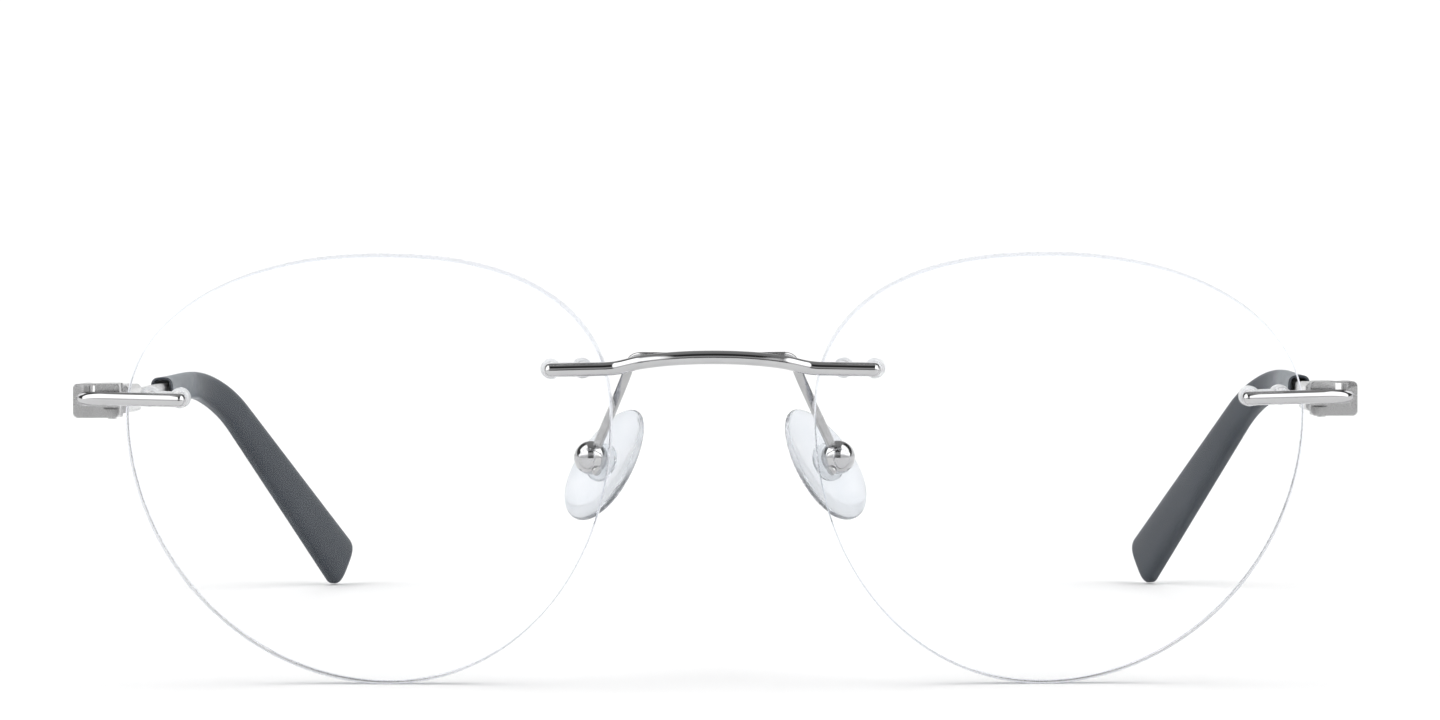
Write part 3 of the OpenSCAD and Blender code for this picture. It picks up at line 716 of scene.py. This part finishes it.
def temple_tip(label, side):
    """From the end of the pocket round the shaft, out over its mouth, and along the outside to the end."""
    pocket_section = soft_box(SHAFT_T + POCKET_GAP, SHAFT_H + POCKET_GAP, SHAFT_POWER, TIP_SIDES)
    pocket = [(s, pocket_section) for s in np.arange(SHAFT_END + 0.15, TIP_START + 3, -1.5)]
    mouth = [
        (TIP_START + 2.2, soft_box(SHAFT_T + 0.7, SHAFT_H + 0.6, 4, TIP_SIDES)),
        (TIP_START + 0.1, soft_box(SHAFT_T + 0.85, SHAFT_H + 0.75, 4, TIP_SIDES)),
    ]

    def outer(s, smaller=0.0):
        """The outside's section at a distance, made smaller for the lip."""
        return s, soft_box(tip_thickness(s) - smaller, tip_height(s) - smaller, TIP_POWER, TIP_SIDES)

    along = list(np.arange(TIP_START + 0.15, TIP_END - 1.5, 0.35))
    along += [TIP_END - d for d in (1.4, 1.2, 1.0, 0.8, 0.6, 0.45, 0.3, 0.2, 0.1, 0.04)]
    outside = [outer(TIP_START, 0.35)] + [outer(s) for s in along]
    points, faces = temple_skin(pocket + mouth + outside, side)
    stands_for = [f"temple_tip_{label}"]
    make(f"sleeve_tip_{label}", points, faces, [TIP], f"temple_{label}", stands_for, 45)


def temple_shaft(label, side):
    """The flat wire from the spring box into the sleeve."""
    section = soft_box(SHAFT_T, SHAFT_H, SHAFT_POWER, 28)
    along = np.append(np.arange(SHAFT_START, SHAFT_END, 1.0), SHAFT_END)
    points, faces = temple_skin([(s, section) for s in along], side)
    stands_for = [f"temple_shaft_{label}"]
    make(f"shaft_wire_{label}", points, faces, [SATIN], f"temple_{label}", stands_for, 40)


# ---- Springs in the hinges ----

SPRING_FROM, SPRING_TO = 3.19, 8.26
SPRING_R, SPRING_WIRE_R, SPRING_TURNS = 0.72, 0.13, 7


def coil_spring(label, side):
    """A coil with closed end turns. Its front end stays with the temple."""
    turns = np.linspace(0, SPRING_TURNS, 28 * SPRING_TURNS + 1)
    gap = np.array([smooth((u - 0.8) / 0.5) * smooth((SPRING_TURNS - u - 0.8) / 0.5) for u in turns])
    closed = 2.08 * SPRING_WIRE_R
    along = SPRING_FROM + closed * turns
    along += (SPRING_TO - SPRING_FROM - closed * SPRING_TURNS) * np.cumsum(gap) / gap.sum()
    b = np.arange(12) / 12 * 2 * math.pi
    rings = []
    for a, y in zip(turns * 2 * math.pi, along):
        out = np.array([math.cos(a), 0, math.sin(a)])
        wire = SPRING_WIRE_R * (np.cos(b)[:, None] * out - np.sin(b)[:, None] * [0, 1, 0])
        rings.append(at_hinge(SPRING_R * out + [0, y, 0] + wire, side))
    points, faces = skin(rings)
    stands_for = [f"hinge_spring_{label}"]
    piece = make(
        f"coil_spring_{label}", points, faces, [TURNED], f"temple_{label}", stands_for, 50)
    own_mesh(piece)


# ---- Floor, light and camera ----

FLOOR_HALF = 6.0
FLOOR_DROP = 0.00002


def floor():
    """A wide plate just under the part, in metres."""
    mesh = bpy.data.meshes.new("floor")
    corners = [(x * FLOOR_HALF, y * FLOOR_HALF, 0) for x, y in ((-1, -1), (1, -1), (1, 1), (-1, 1))]
    mesh.from_pydata(corners, [], [(0, 1, 2, 3)])
    mesh.materials.append(floor_paint())
    piece = bpy.data.objects.new("floor", mesh)
    piece.location.z = cad_low.z - FLOOR_DROP
    bpy.context.scene.collection.objects.link(piece)


# Light round the studio, from the horizon in front (0), over the top (0.5), to the horizon behind (1).
# A darker slot runs from front to back between two long bright panels. Pairs are (place, brightness).
SLOT = (
    (0.00, 0.10), (0.08, 0.12), (0.12, 0.46), (0.20, 0.46), (0.24, 0.03), (0.40, 0.02),
    (0.46, 0.26), (0.70, 0.32), (0.84, 0.30), (0.88, 0.85), (1.00, 0.90),
)
PANELS = (
    (0.00, 0.80), (0.08, 0.78), (0.14, 1.3), (0.20, 2.4), (0.57, 2.4), (0.63, 0.4),
    (0.66, 0.06), (0.84, 0.06), (0.88, 0.95), (1.00, 1.00),
)
SKY_TOP = 2.4
SLOT_HALF_WIDTH, PANELS_FROM = 0.27, 0.35
BACKDROP = 1.1
COLOUR_A, COLOUR_B, COLOUR_OUT = 6, 7, 2


def sky():
    """The studio as reflections and shadows see it. The camera sees an even white in its place."""
    world = bpy.data.worlds.new("studio")
    bpy.context.scene.world = world
    world.use_nodes = True
    tree = world.node_tree

    def calculate(operation, first, second=None):
        """A sum's result, from numbers or other nodes' outputs."""
        node = tree.nodes.new("ShaderNodeMath")
        node.operation = operation
        for socket, value in zip(node.inputs, (first, second)):
            if isinstance(value, (int, float)):
                socket.default_value = value
            elif value is not None:
                tree.links.new(value, socket)
        return node.outputs[0]

    def levels(factor, stops):
        """Brightness along a ramp, as a share of the brightest."""
        node = tree.nodes.new("ShaderNodeValToRGB")
        fill_ramp(node, [(position, (level / SKY_TOP,) * 3) for position, level in stops])
        tree.links.new(factor, node.inputs["Fac"])
        return node.outputs["Color"]

    parts = tree.nodes.new("ShaderNodeSeparateXYZ")
    tree.links.new(tree.nodes.new("ShaderNodeTexCoord").outputs["Generated"], parts.inputs["Vector"])
    x, y, z = parts.outputs
    turn_over = calculate("DIVIDE", calculate("ARCTAN2", z, calculate("MULTIPLY", y, -1.0)), math.pi)
    aside = tree.nodes.new("ShaderNodeMapRange")
    aside.interpolation_type = "SMOOTHSTEP"
    aside.inputs["From Min"].default_value = SLOT_HALF_WIDTH
    aside.inputs["From Max"].default_value = PANELS_FROM
    tree.links.new(calculate("ABSOLUTE", x), aside.inputs["Value"])
    mix = tree.nodes.new("ShaderNodeMix")
    mix.data_type = "RGBA"
    tree.links.new(aside.outputs["Result"], mix.inputs["Factor"])
    tree.links.new(levels(turn_over, SLOT), mix.inputs[COLOUR_A])
    tree.links.new(levels(turn_over, PANELS), mix.inputs[COLOUR_B])
    shown = tree.nodes.new("ShaderNodeMix")
    shown.data_type = "RGBA"
    shown.inputs[COLOUR_B].default_value = (BACKDROP / SKY_TOP,) * 3 + (1,)
    tree.links.new(tree.nodes.new("ShaderNodeLightPath").outputs["Is Camera Ray"], shown.inputs["Factor"])
    tree.links.new(mix.outputs[COLOUR_OUT], shown.inputs[COLOUR_A])
    background = tree.nodes["Background"]
    background.inputs["Strength"].default_value = SKY_TOP
    tree.links.new(shown.outputs[COLOUR_OUT], background.inputs["Color"])


def lamp():
    """A wide soft light from above, a little behind, that only the matt surfaces show."""
    data = bpy.data.lights.new("lamp", "SUN")
    data.energy = 0.85
    data.angle = math.radians(50)
    light = bpy.data.objects.new("lamp", data)
    light.rotation_euler = (math.radians(-24), 0, 0)
    light.visible_glossy = False
    light.visible_transmission = False
    bpy.context.scene.collection.objects.link(light)


# Fitted to the photograph at a chosen distance: a place in metres, and angles in degrees.
EYE = (0.01723, -0.72011, 0.0635)
PITCH_DOWN, YAW, ROLL = 2.628, 1.441, -0.181
FOCAL_LENGTH = 160.9


def camera():
    """Looks from the photograph's viewpoint."""
    data = bpy.data.cameras.new("camera")
    data.sensor_width = 36.0
    data.lens = FOCAL_LENGTH
    data.clip_start, data.clip_end = 0.05, 30.0
    eye = bpy.data.objects.new("camera", data)
    facing = Euler((math.radians(90 - PITCH_DOWN), 0, math.radians(YAW))).to_matrix()
    facing = facing @ Matrix.Rotation(math.radians(ROLL), 3, "Z")
    eye.matrix_world = Matrix.Translation(EYE) @ facing.to_4x4()
    bpy.context.scene.collection.objects.link(eye)
    bpy.context.scene.camera = eye


# ---- Building it all ----

floor()
sky()
lamp()
camera()
bpy.context.scene.view_settings.view_transform = "Standard"

dress(("bridge_plug", "endpiece_plug"), PLUG)
dress(("bridge_studs", "endpiece_studs", "hinge_block", "hinge_slider", "spring_box"), SATIN)
dress(("pad_box",), CHROME)
dress(("pad_screw", "hinge_screw", "spring_stop"), TURNED)
dress(("pad_core",), CORE)

bar("bridge_bar", bridge_path(), 1, ["bridge"])
for label, side in SIDES.items():
    lens(label, side)
    bar(f"endpiece_bar_{label}", endpiece_path(), side, [f"endpiece_{label}"])
    pad_arm(label, side)
    nose_pad(label, side)
    temple_shaft(label, side)
    temple_tip(label, side)
    coil_spring(label, side)
